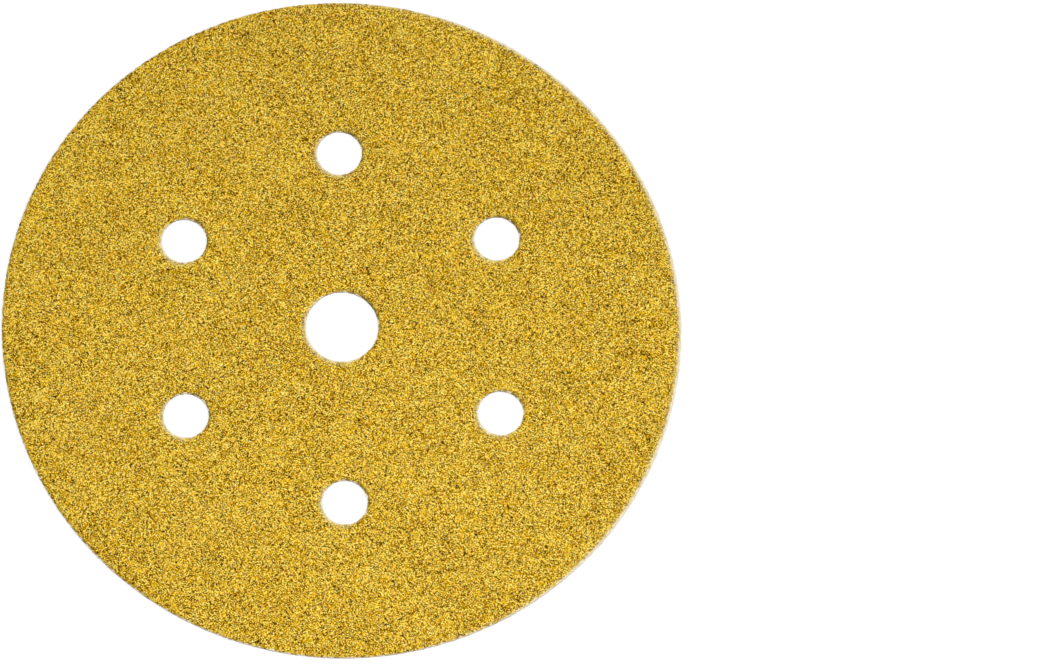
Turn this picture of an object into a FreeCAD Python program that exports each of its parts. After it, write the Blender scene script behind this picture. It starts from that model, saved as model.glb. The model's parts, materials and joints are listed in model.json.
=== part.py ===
"""Hook and loop sanding disc: loop fleece, backing paper and grit coat, punched with seven holes.

The disc lies flat on its fleece. Its frame has the origin at the centre of the fleece's lower
face, +Z along the disc's axis and out through the grit, and the first dust hole on +Y.
All lengths are in millimetres.
"""

import FreeCAD, Part
import os

import Sketcher

# Driving dimensions: name, value and what it measures
DIMENSIONS = [
    ("disc_diameter", 150.0, "cut edge of the disc"),
    ("centre_hole_diameter", 16.0, "hole over the screw in the middle of the pad"),
    ("dust_hole_diameter", 10.0, "hole over one of the pad's dust ports"),
    ("dust_hole_circle", 80.0, "diameter of the circle that the dust holes lie on"),
    ("dust_hole_count", 6, "dust holes, evenly spaced, the first on +Y"),
    ("fleece_thickness", 0.65, "loop fleece with its pile standing free"),
    ("paper_thickness", 0.25, "backing paper"),
    ("grit_thickness", 0.30, "resin, grains and their top coat"),
    ("fleece_bevel", 0.20, "how far the pile slopes away beside a cut, on the free side"),
    ("grit_setback", 0.15, "bare paper beside a cut, where the punch broke the grains off"),
    ("grit_bevel", 0.08, "how far the broken edge of the grit coat slopes"),
]
SHEET = "Dimensions"

# Index numbers that a sketch gives its own origin, its vertical axis and a circle's centre
ORIGIN_INDEXES = (-1, 1)
VERTICAL_AXIS_INDEX = -2
CENTRE_INDEX = 3

FULL_TURN = 360
HEIGHT_TOLERANCE = 0.0001
VOLUME_TOLERANCE_RATIO = 0.000001


def make_sheet(doc):
    """Write the driving dimensions into a spreadsheet, each in a cell with its own name."""
    sheet = doc.addObject("Spreadsheet::Sheet", SHEET)
    for row, (name, value, meaning) in enumerate(DIMENSIONS, start=1):
        sheet.set(f"A{row}", name)
        sheet.set(f"B{row}", str(value))
        sheet.set(f"C{row}", meaning)
        sheet.setAlias(f"B{row}", name)
    doc.recompute()


def cell(name):
    """Return the expression that reads one driving dimension."""
    return f"{SHEET}.{name}"


def own_origin(body, role):
    """Return the plane or axis of the body's own origin that has this role."""
    return next(item for item in body.Origin.OriginFeatures if item.Role == role)


def circle_sketch(body, name, diameter, distance=None):
    """Draw a circle of this diameter round the disc's axis, or at this distance from it along +Y."""
    sketch = body.newObject("Sketcher::SketchObject", name)
    sketch.AttachmentSupport = [(own_origin(body, "XY_Plane"), "")]
    sketch.MapMode = "FlatFace"
    drawn_at = FreeCAD.Vector(0, 1 if distance else 0, 0)
    circle = sketch.addGeometry(Part.Circle(drawn_at, FreeCAD.Vector(0, 0, 1), 1), False)
    if distance:
        on_axis = Sketcher.Constraint("PointOnObject", circle, CENTRE_INDEX, VERTICAL_AXIS_INDEX)
        sketch.addConstraint(on_axis)
        outward = Sketcher.Constraint("DistanceY", *ORIGIN_INDEXES, circle, CENTRE_INDEX, 1)
        out = sketch.addConstraint(outward)
        sketch.setExpression(f"Constraints[{out}]", distance)
    else:
        on_origin = Sketcher.Constraint("Coincident", circle, CENTRE_INDEX, *ORIGIN_INDEXES)
        sketch.addConstraint(on_origin)
    across = sketch.addConstraint(Sketcher.Constraint("Diameter", circle, 1))
    sketch.setExpression(f"Constraints[{across}]", diameter)
    return sketch


def padded_blank(body, diameter, thickness):
    """Raise the round blank of one layer from its lower face."""
    blank = body.newObject("PartDesign::Pad", f"{body.Name}_blank")
    blank.Profile = circle_sketch(body, f"{body.Name}_outline", diameter)
    blank.setExpression("Length", thickness)
    return blank


def punched_hole(body, name, diameter, distance=None):
    """Punch one round hole up through the whole layer."""
    hole = body.newObject("PartDesign::Pocket", f"{body.Name}_{name}")
    hole.Profile = circle_sketch(body, f"{body.Name}_{name}_outline", diameter, distance)
    hole.Type = "ThroughAll"
    hole.Reversed = True
    return hole


def ring_of_holes(body, hole):
    """Repeat the first dust hole evenly round the disc's axis."""
    ring = body.newObject("PartDesign::PolarPattern", f"{body.Name}_dust_hole_ring")
    ring.Originals = [hole]
    ring.Axis = (own_origin(body, "Z_Axis"), [""])
    ring.Angle = FULL_TURN
    ring.setExpression("Occurrences", cell("dust_hole_count"))
    body.Tip = ring
    return ring


def bevel_cut_edges(body, height, size):
    """Bevel every circular edge that lies at this height above the layer's lower face."""
    base = body.Tip
    names = []
    for number, edge in enumerate(base.Shape.Edges, start=1):
        box = edge.BoundBox
        if max(abs(box.ZMin - height), abs(box.ZMax - height)) < HEIGHT_TOLERANCE:
            names.append(f"Edge{number}")
    bevel = body.newObject("PartDesign::Chamfer", f"{body.Name}_cut_edges")
    bevel.Base = (base, names)
    bevel.setExpression("Size", size)
    body.Tip = bevel


def check_punching(body, blank, centre_hole, dust_hole, ring):
    """Stop if a hole cut nothing, or if the ring's holes aren't all alike."""
    for_centre = blank.Shape.Volume - centre_hole.Shape.Volume
    for_one = centre_hole.Shape.Volume - dust_hole.Shape.Volume
    for_ring = centre_hole.Shape.Volume - ring.Shape.Volume
    uneven = abs(for_ring - ring.Occurrences * for_one) > VOLUME_TOLERANCE_RATIO * for_ring
    if for_centre <= 0 or for_one <= 0 or uneven:
        raise RuntimeError(f"{body.Label}: cut {for_centre}, {for_one} and {for_ring} mm3")


def build_layer(doc, node, bottom, thickness, setback="0"):
    """Build one layer of the disc, its cuts standing back from the punch's line by the setback."""
    body = doc.addObject("PartDesign::Body", node)
    body.Label = node
    body.setExpression("Placement.Base.z", bottom)
    blank = padded_blank(body, f"{cell('disc_diameter')} - 2 * {setback}", thickness)
    centre_hole = punched_hole(body, "centre_hole", f"{cell('centre_hole_diameter')} + 2 * {setback}")
    dust_hole = punched_hole(
        body,
        "dust_hole",
        f"{cell('dust_hole_diameter')} + 2 * {setback}",
        distance=f"{cell('dust_hole_circle')} / 2",
    )
    ring = ring_of_holes(body, dust_hole)
    doc.recompute()
    check_punching(body, blank, centre_hole, dust_hole, ring)
    return body


def build_disc(doc):
    """Build the three bonded layers from the floor up and return their bodies."""
    sheet = doc.getObject(SHEET)
    fleece_top = cell("fleece_thickness")
    paper_top = f"{fleece_top} + {cell('paper_thickness')}"

    fleece = build_layer(doc, "fleece_loops", bottom="0", thickness=cell("fleece_thickness"))
    bevel_cut_edges(fleece, 0.0, cell("fleece_bevel"))

    paper = build_layer(doc, "paper_backing", bottom=fleece_top, thickness=cell("paper_thickness"))

    coat = build_layer(
        doc,
        "grit_coat",
        bottom=paper_top,
        thickness=cell("grit_thickness"),
        setback=cell("grit_setback"),
    )
    bevel_cut_edges(coat, sheet.get("grit_thickness"), cell("grit_bevel"))
    return [fleece, paper, coat]


def check_document(doc, bodies):
    """Stop if any feature failed or any layer isn't one valid solid."""
    failed = [item.Name for item in doc.Objects if {"Invalid", "Error"} & set(item.State)]
    if failed:
        raise RuntimeError(f"failed features: {failed}")
    for body in bodies:
        if body.Shape.isNull() or not body.Shape.isValid() or len(body.Shape.Solids) != 1:
            raise RuntimeError(f"{body.Label} isn't one valid solid")


def write_parts(bodies):
    """Write each layer's shape to a file named after its node."""
    for body in bodies:
        body.Shape.exportStep(f"parts/{body.Label}.step")
        box = body.Shape.optimalBoundingBox()
        size = f"{box.XLength:.2f} across, z {box.ZMin:.2f} to {box.ZMax:.2f}"
        print(f"{body.Label}: {size}, {body.Shape.Volume:.1f} mm3")


def main():
    """Build the disc, check it and write its parts."""
    os.makedirs("parts", exist_ok=True)
    doc = FreeCAD.newDocument("sanding_disc")
    make_sheet(doc)
    bodies = build_disc(doc)
    doc.recompute()
    check_document(doc, bodies)
    write_parts(bodies)


main()
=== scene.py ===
"""Hook and loop sanding disc: gold grit on paper with a loop fleece back, lying on a pale floor.

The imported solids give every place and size. This file gives them their looks: grains in their resin
bed on the face, frayed paper at the punched cuts, and a brushed loop pile underneath. Lengths in the
classes' fields are millimetres, angles are degrees, and the scene's own lengths are metres.
"""

import json
import logging
import math
from dataclasses import dataclass
from enum import Enum
from typing import Any

import bpy
import numpy as np
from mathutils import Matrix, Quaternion, Vector


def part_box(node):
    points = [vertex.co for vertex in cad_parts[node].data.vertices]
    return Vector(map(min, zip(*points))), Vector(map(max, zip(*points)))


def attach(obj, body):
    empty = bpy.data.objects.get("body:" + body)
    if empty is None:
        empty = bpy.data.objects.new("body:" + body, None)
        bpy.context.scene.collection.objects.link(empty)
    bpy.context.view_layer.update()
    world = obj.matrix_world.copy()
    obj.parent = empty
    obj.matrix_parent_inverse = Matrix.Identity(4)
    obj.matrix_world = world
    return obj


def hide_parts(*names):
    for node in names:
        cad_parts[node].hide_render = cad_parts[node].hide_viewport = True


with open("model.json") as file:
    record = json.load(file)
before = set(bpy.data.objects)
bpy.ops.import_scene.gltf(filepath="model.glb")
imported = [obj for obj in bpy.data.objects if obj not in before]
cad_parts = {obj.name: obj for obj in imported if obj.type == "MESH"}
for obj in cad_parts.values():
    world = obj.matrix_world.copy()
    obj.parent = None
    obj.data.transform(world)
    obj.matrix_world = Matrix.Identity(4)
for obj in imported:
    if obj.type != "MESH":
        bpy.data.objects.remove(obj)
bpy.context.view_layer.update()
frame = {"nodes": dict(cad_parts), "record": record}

LOG = logging.getLogger("sanding_disc")
MM = 0.001
IMAGE_WIDTH_PX = 1051
SENSOR_WIDTH_MM = 36.0

# Where nearly all of a noise texture's values lie
NOISE_RANGE = (0.3, 0.7)
# How many radians a wave texture turns in one unit at a scale of 1
WAVE_RADIANS = 20

Tree = bpy.types.NodeTree
Socket = bpy.types.NodeSocket
Piece = bpy.types.Object
Material = bpy.types.Material
Array = np.ndarray
Rng = np.random.Generator
Range = tuple[float, float]
Stops = tuple[tuple[float, str], ...]


class Element(Enum):
    """What is picked in edit mode, with the three switches for it."""

    VERTEX = (True, False, False)
    EDGE = (False, True, False)
    FACE = (False, False, True)


def linear(hex_colour: str) -> tuple[float, float, float, float]:
    """Turn an sRGB hex colour into linear RGBA.

    Args:
        hex_colour: the colour as "#rrggbb".

    Returns:
        Its red, green and blue in linear light, and an alpha of 1.
    """
    channels = [int(hex_colour[start:start + 2], 16) / 255 for start in (1, 3, 5)]
    light = [c / 12.92 if c <= 0.04045 else ((c + 0.055) / 1.055) ** 2.4 for c in channels]
    return (light[0], light[1], light[2], 1.0)


def per_metre(size: float) -> float:
    """Return the texture scale at which one cell of a pattern is this many millimetres wide."""
    return 1 / (size * MM)


def add_node(tree: Tree, kind: str, settings: dict[Any, Any] | None = None) -> Any:
    """Add one node with its settings and links.

    Args:
        tree: where it goes.
        kind: the node's type name without "ShaderNode".
        settings: by property name, by input name or by input number, a value to set or another
            node's output to link. "stops" fills a colour ramp with (position, hex colour) pairs.

    Returns:
        The new node's outputs.
    """
    node = tree.nodes.new(f"ShaderNode{kind}")
    for name, value in (settings or {}).items():
        if name == "stops":
            elements = node.color_ramp.elements
            while len(elements) < len(value):
                elements.new(1.0)
            for element, (position, colour) in zip(elements, value):
                element.position = position
                element.color = linear(colour)
        elif isinstance(value, Socket):
            tree.links.new(value, node.inputs[name])
        elif isinstance(name, str) and hasattr(node, name):
            setattr(node, name, value)
        else:
            node.inputs[name].default_value = value
    return node.outputs


def blank_material(name: str) -> tuple[Material, Tree]:
    """Make an empty node material.

    Args:
        name: what the real material is.

    Returns:
        The material and its node tree, with no nodes in it.
    """
    material = bpy.data.materials.new(name)
    material.use_nodes = True
    material.node_tree.nodes.clear()
    return material, material.node_tree


def deselect_everything() -> None:
    """Deselect every object."""
    bpy.ops.object.select_all(action="DESELECT")


def edit_with_picked(piece: Piece, element: Element, picked: Array) -> None:
    """Enter edit mode with these vertices, edges or faces selected.

    Args:
        piece: the object to edit, which is in object mode.
        element: the kind of element that is picked.
        picked: one flag for each of the mesh's elements of that kind.
    """
    deselect_everything()
    piece.select_set(True)
    bpy.context.view_layer.objects.active = piece
    mesh = piece.data
    for kind, items in zip(Element, (mesh.vertices, mesh.edges, mesh.polygons)):
        items.foreach_set("select", picked if kind is element else np.zeros(len(items), bool))
    bpy.context.tool_settings.mesh_select_mode = element.value
    bpy.ops.object.mode_set(mode="EDIT")


def read_rows(items: Any, name: str, width: int, kind: type = int) -> Array:
    """Read one property of a mesh's vertices, edges, corners or faces.

    Args:
        items: the mesh's collection of them.
        name: the property's name.
        width: how many numbers it has.
        kind: the numbers' type.

    Returns:
        The numbers, one row for each item.
    """
    numbers = np.empty(len(items) * width, kind)
    items.foreach_get(name, numbers)
    return numbers.reshape(-1, width)


def vertex_places(piece: Piece) -> Array:
    """Return the piece's vertices in millimetres, one row each."""
    return read_rows(piece.data.vertices, "co", 3, float) / MM


def open_edges(piece: Piece) -> Array:
    """Return a flag for each edge that has only one face."""
    used = read_rows(piece.data.loops, "edge_index", 1)[:, 0]
    return np.bincount(used, minlength=len(piece.data.edges)) == 1


def mesh_piece(name: str, points: Array, triangles: Array) -> Piece:
    """Make an object of many small closed shapes at once.

    Args:
        name: the piece's name.
        points: its vertices in millimetres, one row each.
        triangles: three vertex numbers for each face, counter-clockwise seen from outside.

    Returns:
        The object, in the scene, at the origin.
    """
    mesh = bpy.data.meshes.new(name)
    mesh.from_pydata((points * MM).tolist(), [], triangles.tolist())
    mesh.update()
    piece = bpy.data.objects.new(name, mesh)
    bpy.context.scene.collection.objects.link(piece)
    return piece


def give_numbers(piece: Piece, name: str, numbers: Array) -> None:
    """Store one number on each vertex under this name, for the finish to take its shade from."""
    store = piece.data.attributes.new(name, "FLOAT", "POINT")
    store.data.foreach_set("value", numbers.astype(np.float32))


def dress(piece: Piece, material: Material, smooth: bool) -> Piece:
    """Give a new piece its material, its shading and the body it rides on.

    Args:
        piece: the finished piece.
        material: its material.
        smooth: True for soft shading, False for facets.

    Returns:
        The same piece.
    """
    piece.data.materials.clear()
    piece.data.materials.append(material)
    piece.data.polygons.foreach_set("use_smooth", np.full(len(piece.data.polygons), smooth))
    piece.data.update()
    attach(piece, "root")
    return piece


def report(piece: Piece) -> None:
    """Log a piece's name and how many triangles it has."""
    count = sum(len(face.vertices) - 2 for face in piece.data.polygons)
    LOG.info("%s: %d triangles", piece.name, count)


@dataclass(frozen=True)
class PunchPattern:
    """The round outline and the seven holes that one stroke of the punch cuts."""

    disc_radius: float
    centre_hole_radius: float
    dust_hole_radius: float
    dust_circle_radius: float
    dust_hole_count: int

    @classmethod
    def of_packed_disc(cls) -> "PunchPattern":
        """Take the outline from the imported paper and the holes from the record's mounts.

        Returns:
            The pattern.
        """
        mounts = {mount["name"]: mount["dims"] for mount in frame["record"]["mounts"]}
        centre, ring = mounts["centre_hole"], mounts["dust_holes"]
        outline = round(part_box("paper_backing")[1].x / MM, 2)
        return cls(outline, centre["r_mm"], ring["hole_r_mm"], ring["pcd_mm"] / 2, ring["count"])

    def cuts(self) -> Array:
        """List the cuts.

        Returns:
            x, y, radius and side of each, the side being 1 where the sheet is inside.
        """
        rows = [(0.0, 0.0, self.disc_radius, 1.0), (0.0, 0.0, self.centre_hole_radius, -1.0)]
        for number in range(self.dust_hole_count):
            angle = math.pi / 2 + 2 * math.pi * number / self.dust_hole_count
            x = self.dust_circle_radius * math.cos(angle)
            y = self.dust_circle_radius * math.sin(angle)
            rows.append((x, y, self.dust_hole_radius, -1.0))
        return np.array(rows)

    def nearest_cut(self, points: Array) -> tuple[Array, Array]:
        """Find the cut that each point is nearest to.

        Args:
            points: places in millimetres, one row each.

        Returns:
            How far inside the sheet each point is, and the row of its cut in cuts().
        """
        cuts = self.cuts()
        away = np.linalg.norm(points[:, None, :2] - cuts[None, :, :2], axis=2)
        depth = cuts[:, 3] * (cuts[:, 2] - away)
        row = depth.argmin(axis=1)
        return depth[np.arange(len(points)), row], row

    def onto_cut(self, points: Array, setback: Array) -> Array:
        """Move points straight onto their nearest cut.

        Args:
            points: places in millimetres, one row each.
            setback: how far inside the sheet from the cut each point ends.

        Returns:
            The moved points, at their old heights.
        """
        cut = self.cuts()[self.nearest_cut(points)[1]]
        out = points[:, :2] - cut[:, :2]
        out /= np.linalg.norm(out, axis=1)[:, None]
        radius = cut[:, 2] - cut[:, 3] * setback
        return np.c_[cut[:, :2] + out * radius[:, None], points[:, 2]]

    def scatter(self, spacing: float, edge: "CutEdge", room: float, rng: Rng) -> Array:
        """Scatter points evenly over the sheet, each moved at random in its own cell.

        Args:
            spacing: how far apart they are on average.
            edge: the edge that they stay inside.
            room: how far inside that edge they stay.
            rng: the source of chance.

        Returns:
            x and y of each point.
        """
        steps = np.arange(-self.disc_radius, self.disc_radius, spacing)
        points = np.stack(np.meshgrid(steps, steps), axis=-1).reshape(-1, 2)
        points = points + rng.uniform(0, spacing, points.shape)
        return points[self.nearest_cut(points)[0] > edge.setback(self, points, rng) + room]


@dataclass(frozen=True)
class CutEdge:
    """How far a layer stands back from the punch's line.

    It stands back the most on the worn side of each cut, and the least from a quarter turn away to
    the opposite side. Raggedness is chance from point to point, and wander a slow drift along the
    cut. The sides are angles from +X.
    """

    least: float
    most: float
    raggedness: float
    wander: float = 0.0
    most_at_outline: float = 0.0
    hole_side: float = 215.0
    outline_side: float = 10.0
    # Each wave's radians per millimetre along x and y
    waves: tuple[Range, ...] = ((2.3, 1.7), (-1.1, 3.4), (4.3, -0.9))

    def facing(self, pattern: PunchPattern, points: Array) -> tuple[Array, Array]:
        """Work out which side of its nearest cut each point lies on.

        Args:
            pattern: the cuts.
            points: places in millimetres, one row each.

        Returns:
            A number from 1 on the most worn side to -1 opposite it, and a flag for the outline.
        """
        row = pattern.nearest_cut(points)[1]
        out = points[:, :2] - pattern.cuts()[row, :2]
        worn = np.radians(np.where(row == 0, self.outline_side, self.hole_side))
        return np.cos(np.arctan2(out[:, 1], out[:, 0]) - worn), row == 0

    def unevenness(self, points: Array) -> Array:
        """Return a slow wave over the sheet at each point, from -1 to 1."""
        return np.sin(points[:, :2] @ np.array(self.waves).T).mean(axis=1)

    def setback(self, pattern: PunchPattern, points: Array, rng: Rng) -> Array:
        """Work out the setback at each point.

        Args:
            pattern: the cuts.
            points: places in millimetres, one row each.
            rng: the source of chance for the raggedness.

        Returns:
            One setback for each point, never under 0.
        """
        side, outline = self.facing(pattern, points)
        most = np.where(outline, self.most_at_outline or self.most, self.most)
        spread = rng.normal(0, self.raggedness, len(points)) + self.wander * self.unevenness(points)
        return np.maximum(0, self.least + (most - self.least) * side.clip(0, 1) + spread)


@dataclass(frozen=True)
class PunchedSheet:
    """A closed sheet on a fine grid, cut to the punch pattern, with its rough side at this level."""

    name: str
    spacing: float
    level: float
    relief: float
    shuffle: float
    seed: int

    def build(self, pattern: PunchPattern, edge: CutEdge, flat_level: float) -> Piece:
        """Add the grid, trim and roughen it, draw its edges onto the cuts and close it.

        Args:
            pattern: the cuts.
            edge: how far the sheet stands back from them.
            flat_level: the height of its plane side.

        Returns:
            The closed sheet.
        """
        cells = math.ceil(2 * pattern.disc_radius / self.spacing) + 2
        deselect_everything()
        bpy.ops.mesh.primitive_grid_add(
            x_subdivisions=cells, y_subdivisions=cells, size=cells * self.spacing * MM,
            location=(0, 0, self.level * MM),
        )
        sheet = bpy.context.object
        sheet.name = sheet.data.name = self.name
        bpy.ops.object.transform_apply(location=True, rotation=True, scale=True)
        centres = read_rows(sheet.data.polygons, "center", 3, float) / MM
        edit_with_picked(sheet, Element.FACE, pattern.nearest_cut(centres)[0] < edge.least)
        bpy.ops.mesh.delete(type="FACE")
        bpy.ops.object.mode_set(mode="OBJECT")

        # Chance moves each vertex up to the shuffle sideways and up to the relief in height
        edit_with_picked(sheet, Element.VERTEX, np.ones(len(sheet.data.vertices), bool))
        bpy.ops.transform.vertex_random(
            offset=self.shuffle * MM, uniform=1.0, normal=0.0, seed=self.seed
        )
        bpy.ops.transform.resize(
            value=(1, 1, self.relief / self.shuffle), center_override=(0, 0, self.level * MM)
        )
        bpy.ops.object.mode_set(mode="OBJECT")

        # The trimmed grid's edges are stepped until they move onto the cuts
        rim = np.unique(read_rows(sheet.data.edges, "vertices", 2)[open_edges(sheet)])
        places = vertex_places(sheet)
        setback = edge.setback(pattern, places[rim], np.random.default_rng(self.seed))
        places[rim] = pattern.onto_cut(places[rim], setback)
        sheet.data.vertices.foreach_set("co", (places * MM).ravel())
        sheet.data.update()

        edit_with_picked(sheet, Element.EDGE, open_edges(sheet))
        rise = (flat_level - self.level) * MM
        bpy.ops.mesh.extrude_edges_move(TRANSFORM_OT_translate={"value": (0, 0, rise)})
        bpy.ops.transform.resize(value=(1, 1, 0), center_override=(0, 0, flat_level * MM))
        bpy.ops.mesh.fill(use_beauty=False)
        bpy.ops.mesh.select_all(action="SELECT")
        bpy.ops.mesh.normals_make_consistent(inside=False)
        bpy.ops.object.mode_set(mode="OBJECT")
        return sheet


def turned_at_random(count: int, rng: Rng) -> Array:
    """Draw rotation matrices that are evenly spread over all turns.

    Args:
        count: how many.
        rng: the source of chance.

    Returns:
        The matrices, one after the other.
    """
    w, x, y, z = rng.normal(size=(4, count))
    size = np.sqrt(w * w + x * x + y * y + z * z)
    w, x, y, z = w / size, x / size, y / size, z / size
    rows = [
        [1 - 2 * (y * y + z * z), 2 * (x * y - z * w), 2 * (x * z + y * w)],
        [2 * (x * y + z * w), 1 - 2 * (x * x + z * z), 2 * (y * z - x * w)],
        [2 * (x * z - y * w), 2 * (y * z + x * w), 1 - 2 * (x * x + y * y)],
    ]
    return np.moveaxis(np.array(rows), 2, 0)


def thread_piece(name: str, paths: Array, radii: Array, rng: Rng) -> Piece:
    """Skin many short threads at once, each a closed tube with a tone of its own.

    Args:
        name: the piece's name.
        paths: the threads' points, as thread, point and x, y, z.
        radii: each thread's radius at each of its points.
        rng: the source of chance for the tones.

    Returns:
        The piece, not yet dressed.
    """
    sides, upright = 3, 0.8
    count, steps = radii.shape
    along = np.gradient(paths, axis=1)
    along /= np.linalg.norm(along, axis=2)[:, :, None]
    steep = np.abs(along[:, :1, 2:]) > upright
    lift = np.where(steep, [[[1.0, 0.0, 0.0]]], [[[0.0, 0.0, 1.0]]])
    side = np.cross(along, np.broadcast_to(lift, along.shape))
    side /= np.linalg.norm(side, axis=2)[:, :, None]
    up = np.cross(side, along)
    turn = 2 * np.pi * np.arange(sides) / sides
    ring = side[:, :, None] * np.cos(turn)[:, None] + up[:, :, None] * np.sin(turn)[:, None]
    points = (paths[:, :, None] + ring * radii[:, :, None, None]).reshape(-1, 3)

    first = np.arange(steps - 1)[:, None] * sides
    here, there = np.arange(sides), (np.arange(sides) + 1) % sides
    a, b = (first + here).ravel(), (first + there).ravel()
    walls = np.concatenate([np.c_[a, a + sides, b + sides], np.c_[a, b + sides, b]])
    start = here[None]
    end = (steps - 1) * sides + start[:, ::-1]
    one = np.concatenate([walls, start, end])
    faces = one[None] + (np.arange(count) * steps * sides)[:, None, None]
    piece = mesh_piece(name, points, faces.reshape(-1, 3))
    give_numbers(piece, "tone", np.repeat(rng.uniform(0, 1, count), steps * sides))
    return piece


@dataclass(frozen=True)
class GritFinish:
    """Aluminium oxide grains under a gold resin coat.

    Grains are glassy chips that the yellow coat tints unevenly: bright where it lies thick on a tip,
    with a few bare grains of orange oxide. The brown and olive low down in the gaps is painted shade,
    and so is each grain's darker edge.
    """

    name: str = "Aluminium oxide grit in gold resin"
    # Cells about as wide as this grade's grains, which are 0.2
    grain: float = 0.185
    gap_spacing: float = 0.19
    tone_share: float = 0.7
    contrast: float = 0.28
    # Painted shade of a rounded grain: how much darker it is at its edge than on top, and how far out
    # its own tone shows
    painted_edge_shade: float = 0.5
    middle: float = 0.52
    clump: float = 1.5
    clump_swing: float = 0.04
    drift: float = 14.0
    drift_swing: float = 0.03
    # The darkest stops are partly the grains' own tones and partly painted shade between grains; the
    # palest stops partly painted glints
    stops: Stops = (
        (0.0, "#0c0600"), (0.15, "#3c2600"), (0.33, "#8f6300"), (0.5, "#d69c00"),
        (0.64, "#fcc50c"), (0.82, "#ffdc38"), (1.0, "#fff186"),
    )
    thick_coat: str = "#ffd20a"
    thick_share: float = 0.4
    thick_range: Range = (0.52, 0.72)
    bare_grain: str = "#d08a3a"
    bare_share: float = 0.06
    # Painted shade: the colour low down between the grains, from the gap level up to the tip level
    gap_shade: str = "#7d5600"
    gap_level: float = 0.91
    tip_level: float = 0.99
    # Pale paper dust with painted light on the worn side of each cut, and painted shade on the
    # opposite side
    rim_dust_and_light: str = "#d9d3a0"
    rim_painted_shade: str = "#51461c"
    pit: float = 0.11
    relief: float = 0.8
    relief_height: float = 0.07
    roughness: float = 0.45
    refraction: float = 1.55
    gloss: float = 0.02

    def material(self, reads_tone: bool) -> Material:
        """Build the node material.

        Args:
            reads_tone: True where each grain carries its own tone, False where the tones come
                from a pattern of cells.

        Returns:
            The material.
        """
        material, tree = blank_material(self.name)
        place = add_node(tree, "TexCoord")["Object"]
        pattern = {"Scale": per_metre(self.grain), "Randomness": 1.0, "Vector": place}
        cells = add_node(tree, "TexVoronoi", pattern)
        chance = add_node(tree, "SeparateColor", {"Color": cells["Color"]})
        tone = chance["Red"]
        if reads_tone:
            tone = add_node(tree, "Attribute", {"attribute_name": "tone"})["Fac"]
        clouds = (
            {"Scale": per_metre(self.gap_spacing), "Roughness": 0.65},
            {"Scale": per_metre(self.clump), "Detail": 3.0, "Roughness": 0.6},
            {"Scale": per_metre(self.drift), "Detail": 1.0},
            {"Scale": per_metre(self.pit)},
        )
        gaps, clumps, drift, pits = [
            add_node(tree, "TexNoise", {**cloud, "Vector": place})["Fac"] for cloud in clouds
        ]

        speckle = {"data_type": "FLOAT", "Factor": self.tone_share, "A": gaps, "B": tone}
        spread = {"From Min": 0.5 - self.contrast, "From Max": 0.5 + self.contrast, "clamp": False}
        both = {**spread, "Value": add_node(tree, "Mix", speckle)["Result"]}
        light = add_node(tree, "MapRange", both)["Result"]
        edge_shade_gain = self.painted_edge_shade / (2 * self.contrast)
        # Painted shade darkens each cell towards its edge; the clumps and drift then swing the tone at
        # random
        for value, (low, high), (first, last) in (
            (cells["Distance"], (0.0, 1.0), (edge_shade_gain * self.middle, edge_shade_gain * (self.middle - 1))),
            (clumps, NOISE_RANGE, (-self.clump_swing, self.clump_swing)),
            (drift, NOISE_RANGE, (-self.drift_swing, self.drift_swing)),
        ):
            limits = {"From Min": low, "From Max": high, "To Min": first, "To Max": last}
            swing = add_node(tree, "MapRange", {**limits, "Value": value})["Result"]
            light = add_node(tree, "Math", {"operation": "ADD", 0: light, 1: swing})["Value"]

        colour = add_node(tree, "ValToRGB", {"stops": self.stops, "Fac": light})["Color"]
        low, high = self.thick_range
        thick = {"From Min": low, "From Max": high, "To Max": self.thick_share, "Value": clumps}
        bare = {"operation": "LESS_THAN", 0: chance["Green"], 1: self.bare_share}
        # Painted shade low between the grains, where shade falls: full at the gap level, gone at the
        # tip level
        deep = {
            "interpolation_type": "SMOOTHSTEP",
            "From Min": self.gap_level * MM,
            "From Max": self.tip_level * MM,
            "To Min": 1.0,
            "To Max": 0.0,
            "Value": add_node(tree, "SeparateXYZ", {"Vector": place})["Z"],
        }
        # The rim number lays pale dust with painted light on one side of each cut and painted shade on
        # the other
        rim = add_node(tree, "Attribute", {"attribute_name": "rim"})["Fac"]
        rim_shade_share = {"operation": "MULTIPLY", 0: rim, 1: -1.0}
        for share, over in (
            (add_node(tree, "MapRange", thick)["Result"], self.thick_coat),
            (add_node(tree, "Math", bare)["Value"], self.bare_grain),
            (add_node(tree, "MapRange", deep)["Result"], self.gap_shade),
            (rim, self.rim_dust_and_light),
            (add_node(tree, "Math", rim_shade_share)["Value"], self.rim_painted_shade),
        ):
            layer = {"data_type": "RGBA", "Factor": share, "A": colour, "B": linear(over)}
            colour = add_node(tree, "Mix", layer)["Result"]

        domes = {"operation": "SUBTRACT", 0: pits, 1: cells["Distance"]}
        relief = {
            "Strength": self.relief,
            "Distance": self.relief_height * MM,
            "Height": add_node(tree, "Math", domes)["Value"],
        }
        surface = {
            "Base Color": colour,
            "Normal": add_node(tree, "Bump", relief)["Normal"],
            "Roughness": self.roughness,
            "IOR": self.refraction,
            "Specular IOR Level": self.gloss,
        }
        shader = add_node(tree, "BsdfPrincipled", surface)["BSDF"]
        add_node(tree, "OutputMaterial", {"Surface": shader})
        return material


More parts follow.
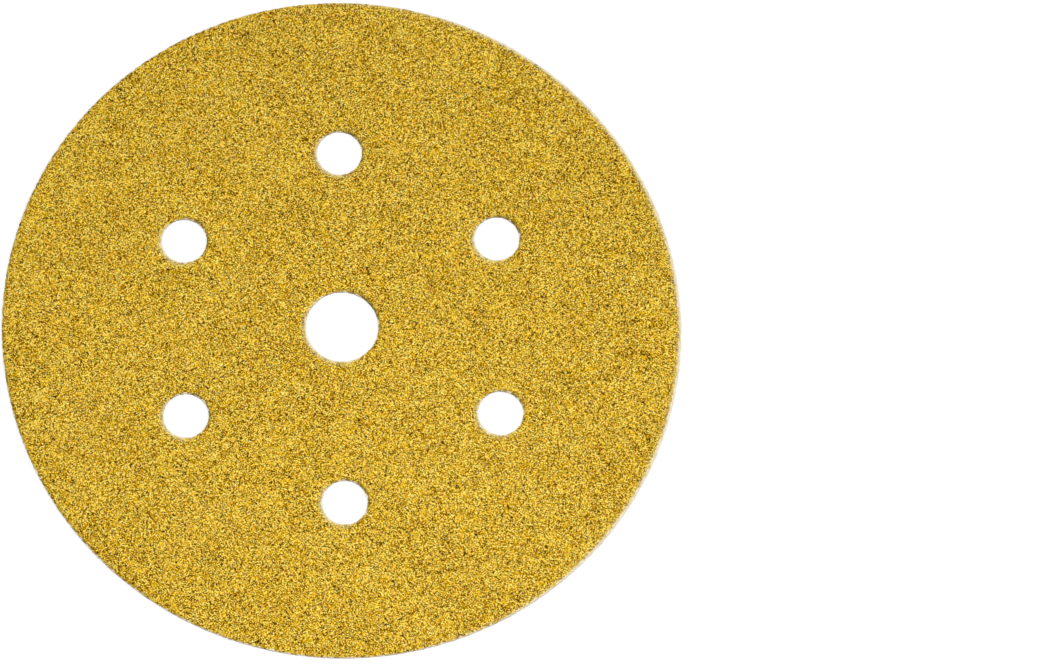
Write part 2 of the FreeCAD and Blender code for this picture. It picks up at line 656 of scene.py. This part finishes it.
@dataclass(frozen=True)
class HoleWallShade:
    """Painted shade in olive brown on the upright faces inside the holes, where shade falls on the cut
    walls.
    """

    # The painted shade's colour and how much of it covers the walls
    colour: str = "#7c6a36"
    share: float = 0.85
    # Faces lean this much at most, and lie within this distance of the disc's axis
    steepness: float = 0.6
    reach: float = 60.0

    def over(self, tree: Tree, place: Socket, unshaded: Socket) -> Socket:
        """Paint shade over a layer's colour on its hole walls.

        Args:
            tree: where the nodes go.
            place: the object's own coordinates.
            unshaded: the layer's colour without the painted shade.

        Returns:
            The colour with the painted shade in it.
        """
        facing = add_node(tree, "NewGeometry")["True Normal"]
        lean = add_node(tree, "SeparateXYZ", {"Vector": facing})["Z"]
        level = {"operation": "COMPARE", 0: lean, 1: 0.0, 2: self.steepness}
        flat = add_node(tree, "Mapping", {"Scale": (1.0, 1.0, 0.0), "Vector": place})["Vector"]
        away = add_node(tree, "VectorMath", {"operation": "LENGTH", 0: flat})["Value"]
        near = {"operation": "LESS_THAN", 0: away, 1: self.reach * MM}
        share = self.share
        for limit in (level, near):
            allowed = add_node(tree, "Math", limit)["Value"]
            share = add_node(tree, "Math", {"operation": "MULTIPLY", 0: share, 1: allowed})["Value"]
        # Painted shade: the walls' colour turns towards olive brown
        wall_shaded = {"data_type": "RGBA", "Factor": share, "A": unshaded, "B": linear(self.colour)}
        return add_node(tree, "Mix", wall_shaded)["Result"]


@dataclass(frozen=True)
class PaperFinish:
    """Uncoated kraft backing paper, pressed and cream, which a punch cuts with a matt fibrous edge."""

    name: str = "Cream backing paper"
    # Painted shade on the hole walls
    wall_shade: HoleWallShade = HoleWallShade()
    # Real fibres are about 0.03 mm thick, and too fine to show, so they are drawn coarser
    fibre: float = 0.12
    blotch: float = 1.6
    blotch_share: float = 0.4
    shade_range: Range = (0.32, 0.68)
    stops: Stops = ((0.0, "#d9c39a"), (0.5, "#eadab6"), (1.0, "#f6ead0"))
    relief: float = 0.4
    relief_height: float = 0.02
    roughness: float = 0.85

    def material(self) -> Material:
        """Build the node material, with fibres that lie flat in the sheet.

        Returns:
            The material.
        """
        material, tree = blank_material(self.name)
        place = add_node(tree, "TexCoord")["Object"]
        flat = add_node(tree, "Mapping", {"Scale": (1.0, 1.0, 3.0), "Vector": place})["Vector"]
        fine = {"Scale": per_metre(self.fibre), "Detail": 3.0, "Roughness": 0.65, "Distortion": 0.8}
        fibres = add_node(tree, "TexNoise", {**fine, "Vector": flat})["Fac"]
        broad = {"Scale": per_metre(self.blotch), "Vector": place}
        blotches = add_node(tree, "TexNoise", broad)["Fac"]
        both = {"data_type": "FLOAT", "Factor": self.blotch_share, "A": fibres, "B": blotches}
        low, high = self.shade_range
        spread = {"From Min": low, "From Max": high, "Value": add_node(tree, "Mix", both)["Result"]}
        shade = add_node(tree, "MapRange", spread)["Result"]
        colour = add_node(tree, "ValToRGB", {"stops": self.stops, "Fac": shade})["Color"]
        relief = {"Strength": self.relief, "Distance": self.relief_height * MM, "Height": fibres}
        surface = {
            # Painted shade darkens the paper's hole walls
            "Base Color": self.wall_shade.over(tree, place, colour),
            "Normal": add_node(tree, "Bump", relief)["Normal"],
            "Roughness": self.roughness,
        }
        shader = add_node(tree, "BsdfPrincipled", surface)["BSDF"]
        add_node(tree, "OutputMaterial", {"Surface": shader})
        return material


@dataclass(frozen=True)
class FleeceFinish:
    """Brushed loop pile of fine polyester, warp knitted: pale, matt, with a soft sheen."""

    name: str = "Brushed polyester loop pile"
    # Painted shade on the hole walls
    wall_shade: HoleWallShade = HoleWallShade()
    # Real threads are about 0.03 mm thick, and too fine to show, so they are drawn coarser
    thread: float = 0.16
    brushing: float = 0.35
    tuft: float = 1.3
    tuft_share: float = 0.35
    wale: float = 0.9
    wale_share: float = 0.15
    shade_range: Range = (0.28, 0.68)
    stops: Stops = (
        (0.0, "#857549"), (0.4, "#bfae84"), (0.75, "#dccca6"), (1.0, "#f0e4c6"),
    )
    relief: float = 0.7
    relief_height: float = 0.08
    roughness: float = 0.8
    sheen: float = 0.25
    sheen_roughness: float = 0.5

    def material(self) -> Material:
        """Build the node material, with the threads brushed along Y over the knit's wales.

        Returns:
            The material.
        """
        material, tree = blank_material(self.name)
        place = add_node(tree, "TexCoord")["Object"]
        turned = {"Scale": (1.0, self.brushing, 1.0), "Vector": place}
        brushed = add_node(tree, "Mapping", turned)["Vector"]
        fine = {"Scale": per_metre(self.thread), "Detail": 3.0, "Roughness": 0.6, "Distortion": 1.2}
        wave = {
            "bands_direction": "X",
            "Scale": per_metre(self.wale) / WAVE_RADIANS * math.pi,
            "Distortion": 1.5,
            "Detail": 2.0,
            "Detail Scale": 1.5,
            "Vector": place,
        }
        pile = add_node(tree, "TexNoise", {**fine, "Vector": brushed})["Fac"]
        broad = {"Scale": per_metre(self.tuft), "Vector": place}
        for share, over in (
            (self.tuft_share, add_node(tree, "TexNoise", broad)["Fac"]),
            (self.wale_share, add_node(tree, "TexWave", wave)["Fac"]),
        ):
            both = {"data_type": "FLOAT", "Factor": share, "A": pile, "B": over}
            pile = add_node(tree, "Mix", both)["Result"]
        low, high = self.shade_range
        spread = {"From Min": low, "From Max": high, "Value": pile}
        shade = add_node(tree, "MapRange", spread)["Result"]
        colour = add_node(tree, "ValToRGB", {"stops": self.stops, "Fac": shade})["Color"]
        relief = {"Strength": self.relief, "Distance": self.relief_height * MM, "Height": pile}
        surface = {
            # Painted shade darkens the fleece's hole walls
            "Base Color": self.wall_shade.over(tree, place, colour),
            "Normal": add_node(tree, "Bump", relief)["Normal"],
            "Roughness": self.roughness,
            "Sheen Weight": self.sheen,
            "Sheen Roughness": self.sheen_roughness,
        }
        shader = add_node(tree, "BsdfPrincipled", surface)["BSDF"]
        add_node(tree, "OutputMaterial", {"Surface": shader})
        return material


@dataclass(frozen=True)
class HairFinish:
    """Single fibres, each a little lighter or darker than the next."""

    name: str
    dark: str
    light: str
    roughness: float = 0.6
    sheen: float = 0.2
    sheen_roughness: float = 0.5

    def material(self) -> Material:
        """Build the node material, which takes each fibre's shade from its tone.

        Returns:
            The material.
        """
        material, tree = blank_material(self.name)
        tone = add_node(tree, "Attribute", {"attribute_name": "tone"})["Fac"]
        shades = {"stops": ((0.0, self.dark), (1.0, self.light)), "Fac": tone}
        surface = {
            "Base Color": add_node(tree, "ValToRGB", shades)["Color"],
            "Roughness": self.roughness,
            "Sheen Weight": self.sheen,
            "Sheen Roughness": self.sheen_roughness,
        }
        shader = add_node(tree, "BsdfPrincipled", surface)["BSDF"]
        add_node(tree, "OutputMaterial", {"Surface": shader})
        return material


@dataclass(frozen=True)
class Fringe:
    """Fibres that stand out of every cut of one layer, most of them on its worn side.

    Spreads are standard deviations, as shares of the way straight out of the cut.
    """

    name: str
    pattern: PunchPattern
    edge: CutEdge
    finish: HairFinish
    slot: str
    bottom: float
    top: float
    per_mm: float
    length: float
    thickness: float
    droop: float
    joints: int
    seed: int
    root_depth: float = 0.12
    # The range of chance that a fibre is kept by, and how far the slow wave bears on it
    keeping: Range = (-1.1, 0.6)
    crowding: float = 0.9
    swerve: float = 0.75
    dip: float = 0.35
    bend: float = 0.6
    lift: float = 0.25
    evenness: float = 3.0
    reach_range: Range = (0.2, 2.2)
    height_range: Range = (0.03, 0.97)
    tip: float = 0.45
    girth_range: Range = (0.7, 1.2)

    def build(self) -> Piece:
        """Root the fibres round each cut, curl them at random and skin them.

        Returns:
            The dressed piece.
        """
        rng = np.random.default_rng(self.seed)
        cuts = self.pattern.cuts()
        counts = (2 * np.pi * cuts[:, 2] * self.per_mm).astype(int)
        cut = np.repeat(cuts, counts, axis=0)
        angle = rng.uniform(0, 2 * np.pi, len(cut))
        worn = np.radians(np.where(cut[:, 3] > 0, self.edge.outline_side, self.edge.hole_side))
        spot = cut[:, :2] + cut[:, 2:3] * np.c_[np.cos(angle), np.sin(angle)]
        crowd = np.cos(angle - worn) + self.crowding * self.edge.unevenness(spot)
        kept = rng.uniform(*self.keeping, len(cut)) < crowd
        cut, angle = cut[kept], angle[kept]

        count = len(cut)
        upward = np.array([0.0, 0.0, 1.0])
        radial = np.c_[np.cos(angle), np.sin(angle), np.zeros(count)]
        around = np.c_[-np.sin(angle), np.cos(angle), np.zeros(count)]
        out = radial * cut[:, 3:]
        root = np.c_[cut[:, :2], np.zeros(count)] + radial * cut[:, 2:3] - out * self.root_depth
        root[:, 2] = rng.uniform(self.bottom, self.top, count)
        swerve = rng.normal(0, self.swerve, count)[:, None]
        dip = rng.normal(self.droop, self.dip, count)[:, None]
        heading = out + around * swerve + upward * dip
        heading /= np.linalg.norm(heading, axis=1)[:, None]
        sideways = around * rng.normal(0, self.bend, count)[:, None]
        bend = sideways + upward * rng.normal(0, self.lift, count)[:, None]
        share = rng.gamma(self.evenness, 1 / self.evenness, count).clip(*self.reach_range)
        reach = self.length * share[:, None, None]
        step = np.linspace(0, 1, self.joints)[None, :, None]
        paths = root[:, None] + reach * (heading[:, None] * step + bend[:, None] * step ** 2)
        paths[:, :, 2] = paths[:, :, 2].clip(*self.height_range)
        taper = np.linspace(1.0, self.tip, self.joints)[None]
        radii = self.thickness / 2 * taper * rng.uniform(*self.girth_range, (count, 1))
        fringe = thread_piece(self.name, paths, radii, rng)
        return dress(fringe, self.finish.material(), smooth=True)


@dataclass(frozen=True)
class GritCoat:
    """The abrasive face: a bed of resin and small grains, with larger grains standing in it."""

    pattern: PunchPattern
    finish: GritFinish = GritFinish()
    edge: CutEdge = CutEdge(
        least=0.06, most=0.38, raggedness=0.13, wander=0.2, most_at_outline=0.65
    )
    bed: PunchedSheet = PunchedSheet(
        "grit_bed", spacing=0.43, level=1.00, relief=0.04, shuffle=0.14, seed=11
    )
    # Pale dust with painted light on the worn side of each cut, painted shade opposite, and how far in
    # each reaches
    pale_rim: float = 0.75
    pale_width: float = 1.2
    dark_rim: float = 1.0
    dark_rim_at_outline: float = 0.5
    dark_width: float = 0.75
    # A chip's upper and lower point and how far its corners are knocked about, by its width
    chip_top: float = 0.5
    chip_bottom: float = 0.45
    chip_chipping: float = 0.17
    grain_width: float = 0.30
    grain_spread: float = 0.17
    grain_range: Range = (0.6, 1.5)
    grain_spacing: float = 0.60
    grain_room: float = 0.15
    grain_kinds: int = 8
    grain_sinking: float = 0.045
    deepest_tip: float = 0.14
    grain_root: float = 0.06
    seed: int = 11

    def build(self) -> list[Piece]:
        """Build and dress the resin bed and the grains, in place of the plain coat.

        Returns:
            The new pieces.
        """
        low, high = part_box("grit_coat")
        bed = self.bed.build(self.pattern, self.edge, low.z / MM)
        give_numbers(bed, "rim", self._rim_dust_and_shade(vertex_places(bed)))
        dress(bed, self.finish.material(reads_tone=False), smooth=False)
        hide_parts("grit_coat")
        return [bed, *self._grains(high.z / MM)]

    def _rim_dust_and_shade(self, points: Array) -> Array:
        """Work out the pale dust and the painted light and shade on the coat beside its cuts.

        Args:
            points: places in millimetres, one row each.

        Returns:
            For each, a number up to 1 on the worn side, where pale paper dust and painted light show
            between the grains, down to -1 on the opposite side, where painted shade darkens the coat,
            and
            0 away from the cuts.
        """
        side, outline = self.edge.facing(self.pattern, points)
        pale = side > 0
        dark = np.where(outline, self.dark_rim_at_outline, 1.0) * self.dark_rim
        strength = np.where(pale, self.pale_rim, dark)
        width = np.where(pale, self.pale_width, self.dark_width)
        near = (1 - self.pattern.nearest_cut(points)[0] / width).clip(0, 1)
        return side * strength * near

    def _chip(self, number: int) -> tuple[Array, Array]:
        """Knock one angular grain out of an eight-sided crystal.

        Args:
            number: which of the kinds of grain it is.

        Returns:
            Its vertices for a width of 1, and three vertex numbers for each face.
        """
        deselect_everything()
        bpy.ops.mesh.primitive_cone_add(
            vertices=4, radius1=0.5 * MM, depth=self.chip_top * MM, end_fill_type="NOTHING",
            location=(0, 0, self.chip_top / 2 * MM),
        )
        chip = bpy.context.object
        bpy.ops.object.transform_apply(location=True, rotation=True, scale=True)
        edit_with_picked(chip, Element.EDGE, open_edges(chip))
        down = (0, 0, -self.chip_bottom * MM)
        bpy.ops.mesh.extrude_edges_move(TRANSFORM_OT_translate={"value": down})
        bpy.ops.mesh.merge(type="CENTER")
        bpy.ops.mesh.select_all(action="SELECT")
        chipping = self.chip_chipping * MM
        bpy.ops.transform.vertex_random(offset=chipping, uniform=0.6, seed=self.seed + number)
        bpy.ops.mesh.normals_make_consistent(inside=False)
        bpy.ops.object.mode_set(mode="OBJECT")
        points = vertex_places(chip)
        faces = np.empty(len(chip.data.polygons) * 3, int)
        chip.data.polygons.foreach_get("vertices", faces)
        bpy.data.objects.remove(chip)
        return points, faces.reshape(-1, 3)

    def _grains(self, top: float) -> list[Piece]:
        """Scatter the larger grains, sunk in the bed, as two pieces by their size.

        Args:
            top: the height that the tallest grains reach.

        Returns:
            The dressed pieces.
        """
        rng = np.random.default_rng(self.seed)
        spots = self.pattern.scatter(self.grain_spacing, self.edge, self.grain_room, rng)
        share = rng.normal(1.0, self.grain_spread, len(spots)).clip(*self.grain_range)
        width = self.grain_width * share
        coarse = width > np.median(width)
        chips = [self._chip(number) for number in range(self.grain_kinds)]
        material = self.finish.material(reads_tone=True)
        pieces = []
        for name, chosen in (("coarse_grains", coarse), ("fine_grains", ~coarse)):
            points, faces, tones, used = [], [], [], 0
            here, wide = spots[chosen], width[chosen]
            kind = rng.integers(self.grain_kinds, size=len(here))
            for number, (shape, sides) in enumerate(chips):
                mine = kind == number
                count = int(mine.sum())
                turned = np.einsum("nij,vj->nvi", turned_at_random(count, rng), shape)
                grain = turned * wide[mine, None, None]
                grain[:, :, :2] += here[mine, None]
                sunk = np.abs(rng.normal(0, self.grain_sinking, count)).clip(0, self.deepest_tip)
                grain[:, :, 2] += (top - sunk - grain[:, :, 2].max(axis=1))[:, None]
                grain[:, :, 2] = grain[:, :, 2].clip(self.bed.level - self.grain_root, None)
                points.append(grain.reshape(-1, 3))
                start = used + np.arange(count) * len(shape)
                faces.append((sides[None] + start[:, None, None]).reshape(-1, 3))
                tones.append(np.repeat(rng.uniform(0, 1, count), len(shape)))
                used += count * len(shape)
            grains = mesh_piece(name, np.concatenate(points), np.concatenate(faces))
            give_numbers(grains, "tone", np.concatenate(tones))
            give_numbers(grains, "rim", self._rim_dust_and_shade(np.concatenate(points)))
            pieces.append(dress(grains, material, smooth=False))
        return pieces


@dataclass(frozen=True)
class PaperBacking:
    """The paper that carries the grit, frayed where the punch cut it."""

    pattern: PunchPattern
    finish: PaperFinish = PaperFinish()
    fray: HairFinish = HairFinish("Torn paper fibre", dark="#d8c59d", light="#fbf2dc")
    edge: CutEdge = CutEdge(least=0.0, most=0.0, raggedness=0.0)
    fray_margin: float = 0.02
    seed: int = 31

    def build(self) -> list[Piece]:
        """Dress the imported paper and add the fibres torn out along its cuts.

        Returns:
            The new piece.
        """
        low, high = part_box("paper_backing")
        for place in frame["nodes"]["paper_backing"].material_slots:
            place.material = self.finish.material()
        fringe = Fringe(
            "paper_fray", self.pattern, self.edge, self.fray, "paper_backing",
            bottom=low.z / MM + self.fray_margin, top=high.z / MM - self.fray_margin,
            per_mm=6.0, length=0.22, thickness=0.045, droop=0.1, joints=3, seed=self.seed,
        )
        return [fringe.build()]


@dataclass(frozen=True)
class LoopFleece:
    """The loop back: a knitted ground cloth with its pile brushed down on it."""

    pattern: PunchPattern
    finish: FleeceFinish = FleeceFinish()
    loops: HairFinish = HairFinish("Polyester loop thread", dark="#c2b188", light="#f3e8cc")
    fuzz: HairFinish = HairFinish("Loose polyester fibre", dark="#a39269", light="#e9d9b4")
    edge: CutEdge = CutEdge(least=0.03, most=0.03, raggedness=0.03)
    ground: PunchedSheet = PunchedSheet(
        "fleece_cloth", spacing=0.6, level=0.20, relief=0.12, shuffle=0.19, seed=21
    )
    # Real loops are finer and far closer together, and too fine to show, so these are coarser
    loop_spacing: float = 1.6
    loop_room: float = 0.4
    loop_span: float = 1.7
    span_range: Range = (0.6, 1.3)
    loop_points: int = 5
    loop_thickness: float = 0.085
    loop_root: float = 0.12
    # Below 1 a loop has steep legs and a flat end
    loop_roundness: float = 0.6
    # Standard deviations of the loops' direction in radians, their sway and their height
    brushing: float = 0.7
    sway: float = 0.35
    unevenness: float = 0.05
    fuzz_bottom: float = 0.08
    fuzz_margin: float = 0.04
    seed: int = 21

    def build(self) -> list[Piece]:
        """Build the ground cloth, its loops and the fuzz at its cuts, in place of the plain layer.

        Returns:
            The new pieces.
        """
        low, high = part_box("fleece_loops")
        cloth = self.ground.build(self.pattern, self.edge, high.z / MM)
        dress(cloth, self.finish.material(), smooth=True)
        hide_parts("fleece_loops")
        pile = self._pile(low.z / MM)
        fringe = Fringe(
            "fleece_fuzz", self.pattern, self.edge, self.fuzz, "fleece_loops",
            bottom=self.fuzz_bottom, top=high.z / MM - self.fuzz_margin,
            per_mm=13.0, length=0.26, thickness=0.04, droop=-0.1, joints=4, seed=self.seed + 2,
        )
        fuzz = fringe.build()
        cuts = self.pattern.cuts() * MM
        return [cloth, pile, fuzz]

    def _pile(self, bottom: float) -> Piece:
        """Sew loops of thread into the cloth, brushed over mostly one way.

        Args:
            bottom: the height that the lowest loops reach.

        Returns:
            The dressed piece.
        """
        rng = np.random.default_rng(self.seed)
        spots = self.pattern.scatter(self.loop_spacing, self.edge, self.loop_room, rng)
        count = len(spots)
        angle = rng.normal(np.pi / 2, self.brushing, count)
        along = np.c_[np.cos(angle), np.sin(angle)]
        across = np.c_[-along[:, 1], along[:, 0]]
        step = np.linspace(0, 1, self.loop_points)
        bulge = np.sin(np.pi * step)
        span = self.loop_span * rng.uniform(*self.span_range, (count, 1, 1))
        sway = rng.normal(0, self.sway, (count, 1, 1))
        flat = (
            spots[:, None]
            + span * (step[None, :, None] - 0.5) * along[:, None]
            + sway * bulge[None, :, None] * across[:, None]
        )
        clearance = np.abs(rng.normal(0, self.unevenness, (count, 1)))
        lowest = bottom + self.loop_thickness / 2 + clearance
        root = self.ground.level + self.loop_root
        height = root - (root - lowest) * bulge[None] ** self.loop_roundness
        paths = np.concatenate([flat, height[:, :, None]], axis=2)
        radii = np.full((count, self.loop_points), self.loop_thickness / 2)
        pile = thread_piece("loop_pile", paths, radii, rng)
        return dress(pile, self.loops.material(), smooth=True)


def towards(azimuth: float, elevation: float) -> Vector:
    """Find the direction from the disc to something.

    Args:
        azimuth: its angle round the disc, from -Y towards +X.
        elevation: its angle above the floor.

    Returns:
        The direction, 1 long.
    """
    turn, rise = math.radians(azimuth), math.radians(elevation)
    flat = math.cos(rise)
    return Vector((math.sin(turn) * flat, -math.cos(turn) * flat, math.sin(rise)))


@dataclass(frozen=True)
class Viewpoint:
    """A long lens above the near side of the disc, which stands left of the picture's middle."""

    aim: tuple[float, float, float] = (40.49, -2.2, 1.2)
    azimuth: float = -10.95
    elevation: float = 74.36
    roll: float = 10.1
    distance: float = 1767.8
    focal_length_px: float = 8000.0
    nearest_m: float = 0.05
    farthest_m: float = 50.0

    def place(self) -> None:
        """Create the camera and make it the scene's."""
        back = towards(self.azimuth, self.elevation)
        data = bpy.data.cameras.new("viewpoint")
        data.sensor_width = SENSOR_WIDTH_MM
        data.lens = self.focal_length_px / IMAGE_WIDTH_PX * SENSOR_WIDTH_MM
        data.clip_start, data.clip_end = self.nearest_m, self.farthest_m
        camera = bpy.data.objects.new("viewpoint", data)
        bpy.context.scene.collection.objects.link(camera)
        camera.location = (Vector(self.aim) + back * self.distance) * MM
        camera.rotation_mode = "QUATERNION"
        level = (-back).to_track_quat("-Z", "Y")
        camera.rotation_quaternion = level @ Quaternion((0.0, 0.0, 1.0), math.radians(self.roll))
        bpy.context.scene.camera = camera


@dataclass(frozen=True)
class SoftLight:
    """A square softbox that points at the disc, with its distance and width in metres."""

    name: str
    azimuth: float
    elevation: float
    distance: float
    width: float
    power: float

    def place(self) -> None:
        """Create the lamp. Its power is in watts."""
        back = towards(self.azimuth, self.elevation)
        data = bpy.data.lights.new(self.name, "AREA")
        data.shape, data.size, data.energy = "SQUARE", self.width, self.power
        lamp = bpy.data.objects.new(self.name, data)
        bpy.context.scene.collection.objects.link(lamp)
        lamp.location = back * self.distance
        lamp.rotation_mode = "QUATERNION"
        lamp.rotation_quaternion = (-back).to_track_quat("-Z", "Y")


@dataclass(frozen=True)
class Studio:
    """A pale floor under soft light, with its size in metres."""

    lamps: tuple[SoftLight, ...] = (
        SoftLight("key", azimuth=120.0, elevation=58.0, distance=6.0, width=2.0, power=40.0),
        SoftLight("fill", azimuth=18.0, elevation=74.0, distance=0.37, width=0.25, power=0.86),
    )
    sky_strength: float = 0.45
    floor_size: float = 12.0
    floor_colour: str = "#a6a6a6"
    floor_glow: float = 0.72

    def build(self) -> None:
        """Set the colour transform and build the floor, the lamps and the world's light."""
        bpy.context.scene.view_settings.view_transform = "Standard"
        for lamp in self.lamps:
            lamp.place()
        self._floor()
        self._sky()

    def _seen(self, tree: Tree) -> Socket:
        """Return 1 where the camera or a reflection looks, and 0 where light is gathered."""
        ray = add_node(tree, "LightPath")
        either = {"operation": "MAXIMUM", 0: ray["Is Camera Ray"], 1: ray["Is Glossy Ray"]}
        return add_node(tree, "Math", either)["Value"]

    def _floor(self) -> None:
        """Lay a white matt floor that shows white to the camera and keeps the disc's shadow."""
        deselect_everything()
        bpy.ops.mesh.primitive_plane_add(size=self.floor_size, location=(0, 0, 0))
        floor = bpy.context.object
        floor.name = "sanding_floor"
        material, tree = blank_material("White studio floor")
        glowing = {"operation": "MULTIPLY", 0: self._seen(tree), 1: self.floor_glow}
        strength = add_node(tree, "Math", glowing)["Value"]
        matt = add_node(tree, "BsdfDiffuse", {"Color": linear(self.floor_colour)})["BSDF"]
        glow = add_node(tree, "Emission", {"Strength": strength})["Emission"]
        both = add_node(tree, "AddShader", {0: matt, 1: glow})["Shader"]
        add_node(tree, "OutputMaterial", {"Surface": both})
        floor.data.materials.append(material)

    def _sky(self) -> None:
        """Light the scene evenly from all round, and show white where the floor ends."""
        world = bpy.data.worlds.new("studio")
        world.use_nodes = True
        tree = world.node_tree
        tree.nodes.clear()
        levels = {"data_type": "FLOAT", "Factor": self._seen(tree), "A": self.sky_strength, "B": 1.0}
        strength = add_node(tree, "Mix", levels)["Result"]
        light = add_node(tree, "Background", {"Color": linear("#ffffff"), "Strength": strength})
        add_node(tree, "OutputWorld", {"Surface": light["Background"]})
        bpy.context.scene.world = world


def main() -> None:
    """Place the camera, light the floor, build the layers and report each piece."""
    logging.basicConfig(level=logging.INFO, format="%(message)s")
    Viewpoint().place()
    Studio().build()
    pattern = PunchPattern.of_packed_disc()
    for layer in (LoopFleece(pattern), PaperBacking(pattern), GritCoat(pattern)):
        for piece in layer.build():
            report(piece)


if __name__ == "__main__":
    main()
